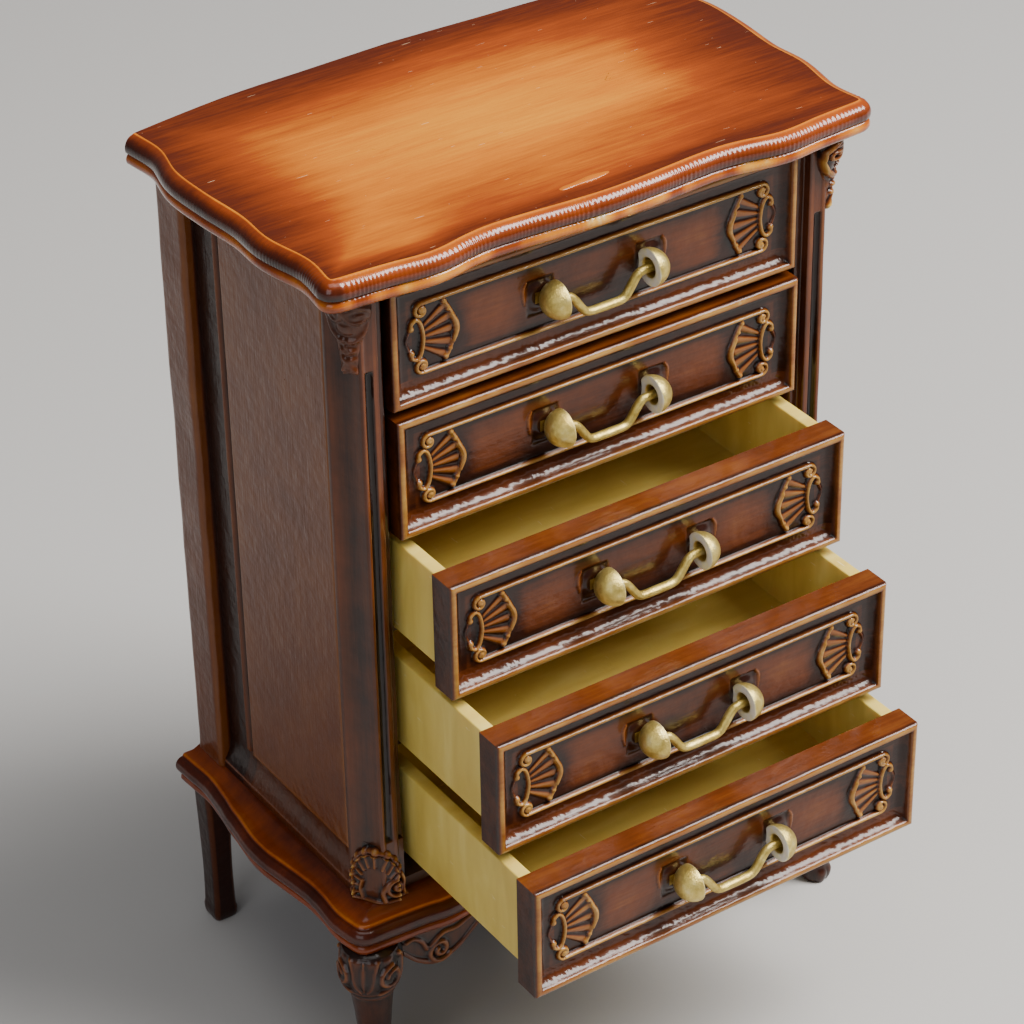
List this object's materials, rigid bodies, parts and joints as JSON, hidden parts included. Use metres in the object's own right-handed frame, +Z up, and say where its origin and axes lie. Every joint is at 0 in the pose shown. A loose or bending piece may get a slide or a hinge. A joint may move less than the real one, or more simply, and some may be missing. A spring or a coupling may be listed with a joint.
{
  "type": "miniature chest of drawers",
  "caption": "Dolls house chest of drawers with serpentine moulded top and plinth, cabriole legs, fluted corner posts and sliding drawers with swinging bail handles.",
  "frame": {"origin": "on the floor, under the middle of the case", "axes": "+Z up; the drawers open towards -Y; +X is to the right for someone facing the drawers"},
  "size_m": [0.0674, 0.0623, 0.098],
  "materials": {
    "lacquer_top": "gloss lacquer over brushed orange-brown wood-effect paint, darker at the edges",
    "lacquer_brown": "gloss lacquer over red-brown wood-effect paint, rubbed to tan on raised edges",
    "ivory_plastic": "satin moulded plastic, unpainted",
    "bare_plastic": "satin brown inside the case",
    "gold_paint": "satin pale gold"
  },
  "bodies": {
    "cabinet": {"top_board": "lacquer_top", "base_plinth": "lacquer_brown", "back_panel": "lacquer_brown", "case_floor": "lacquer_brown", "front_apron": "lacquer_brown", "corner_post_left": "lacquer_brown", "post_bracket_left": "lacquer_brown", "post_palmette_left": "lacquer_brown", "side_panel_left": "lacquer_brown", "rear_stile_left": "lacquer_brown", "runner_rack_left": "bare_plastic", "front_leg_left": "lacquer_brown", "rear_leg_left": "lacquer_brown", "corner_post_right": "lacquer_brown", "post_bracket_right": "lacquer_brown", "post_palmette_right": "lacquer_brown", "side_panel_right": "lacquer_brown", "rear_stile_right": "lacquer_brown", "runner_rack_right": "bare_plastic", "front_leg_right": "lacquer_brown", "rear_leg_right": "lacquer_brown"},
    "drawer_1": {"drawer_1_front": "lacquer_brown", "drawer_1_box": "ivory_plastic", "drawer_1_knob_left": "gold_paint", "drawer_1_knob_right": "gold_paint"},
    "bail_1": {"drawer_1_bail": "gold_paint"},
    "drawer_2": {"drawer_2_front": "lacquer_brown", "drawer_2_box": "ivory_plastic", "drawer_2_knob_left": "gold_paint", "drawer_2_knob_right": "gold_paint"},
    "bail_2": {"drawer_2_bail": "gold_paint"},
    "drawer_3": {"drawer_3_front": "lacquer_brown", "drawer_3_box": "ivory_plastic", "drawer_3_knob_left": "gold_paint", "drawer_3_knob_right": "gold_paint"},
    "bail_3": {"drawer_3_bail": "gold_paint"},
    "drawer_4": {"drawer_4_front": "lacquer_brown", "drawer_4_box": "ivory_plastic", "drawer_4_knob_left": "gold_paint", "drawer_4_knob_right": "gold_paint"},
    "bail_4": {"drawer_4_bail": "gold_paint"},
    "drawer_5": {"drawer_5_front": "lacquer_brown", "drawer_5_box": "ivory_plastic", "drawer_5_knob_left": "gold_paint", "drawer_5_knob_right": "gold_paint"},
    "bail_5": {"drawer_5_bail": "gold_paint"}
  },
  "joints": [
    {"name": "drawer_1_slide", "type": "slide", "parent": "cabinet", "child": "drawer_1", "axis": [0, -1, 0], "range_m": [0, 0.024]},
    {"name": "bail_1_pivot", "type": "hinge", "parent": "drawer_1", "child": "bail_1", "pos_m": [0, -0.0177, 0.0873], "axis": [-1, 0, 0], "range_deg": [-12, 110]},
    {"name": "drawer_2_slide", "type": "slide", "parent": "cabinet", "child": "drawer_2", "axis": [0, -1, 0], "range_m": [-0.0006, 0.0234]},
    {"name": "bail_2_pivot", "type": "hinge", "parent": "drawer_2", "child": "bail_2", "pos_m": [0, -0.0183, 0.0732], "axis": [-1, 0, 0], "range_deg": [-12, 110]},
    {"name": "drawer_3_slide", "type": "slide", "parent": "cabinet", "child": "drawer_3", "axis": [0, -1, 0], "range_m": [-0.0089, 0.0151]},
    {"name": "bail_3_pivot", "type": "hinge", "parent": "drawer_3", "child": "bail_3", "pos_m": [0, -0.0266, 0.0591], "axis": [-1, 0, 0], "range_deg": [-12, 110]},
    {"name": "drawer_4_slide", "type": "slide", "parent": "cabinet", "child": "drawer_4", "axis": [0, -1, 0], "range_m": [-0.0165, 0.0075]},
    {"name": "bail_4_pivot", "type": "hinge", "parent": "drawer_4", "child": "bail_4", "pos_m": [0, -0.0342, 0.045], "axis": [-1, 0, 0], "range_deg": [-12, 110]},
    {"name": "drawer_5_slide", "type": "slide", "parent": "cabinet", "child": "drawer_5", "axis": [0, -1, 0], "range_m": [-0.0225, 0.0015]},
    {"name": "bail_5_pivot", "type": "hinge", "parent": "drawer_5", "child": "bail_5", "pos_m": [0, -0.0402, 0.0309], "axis": [-1, 0, 0], "range_deg": [-12, 110]}
  ]
}
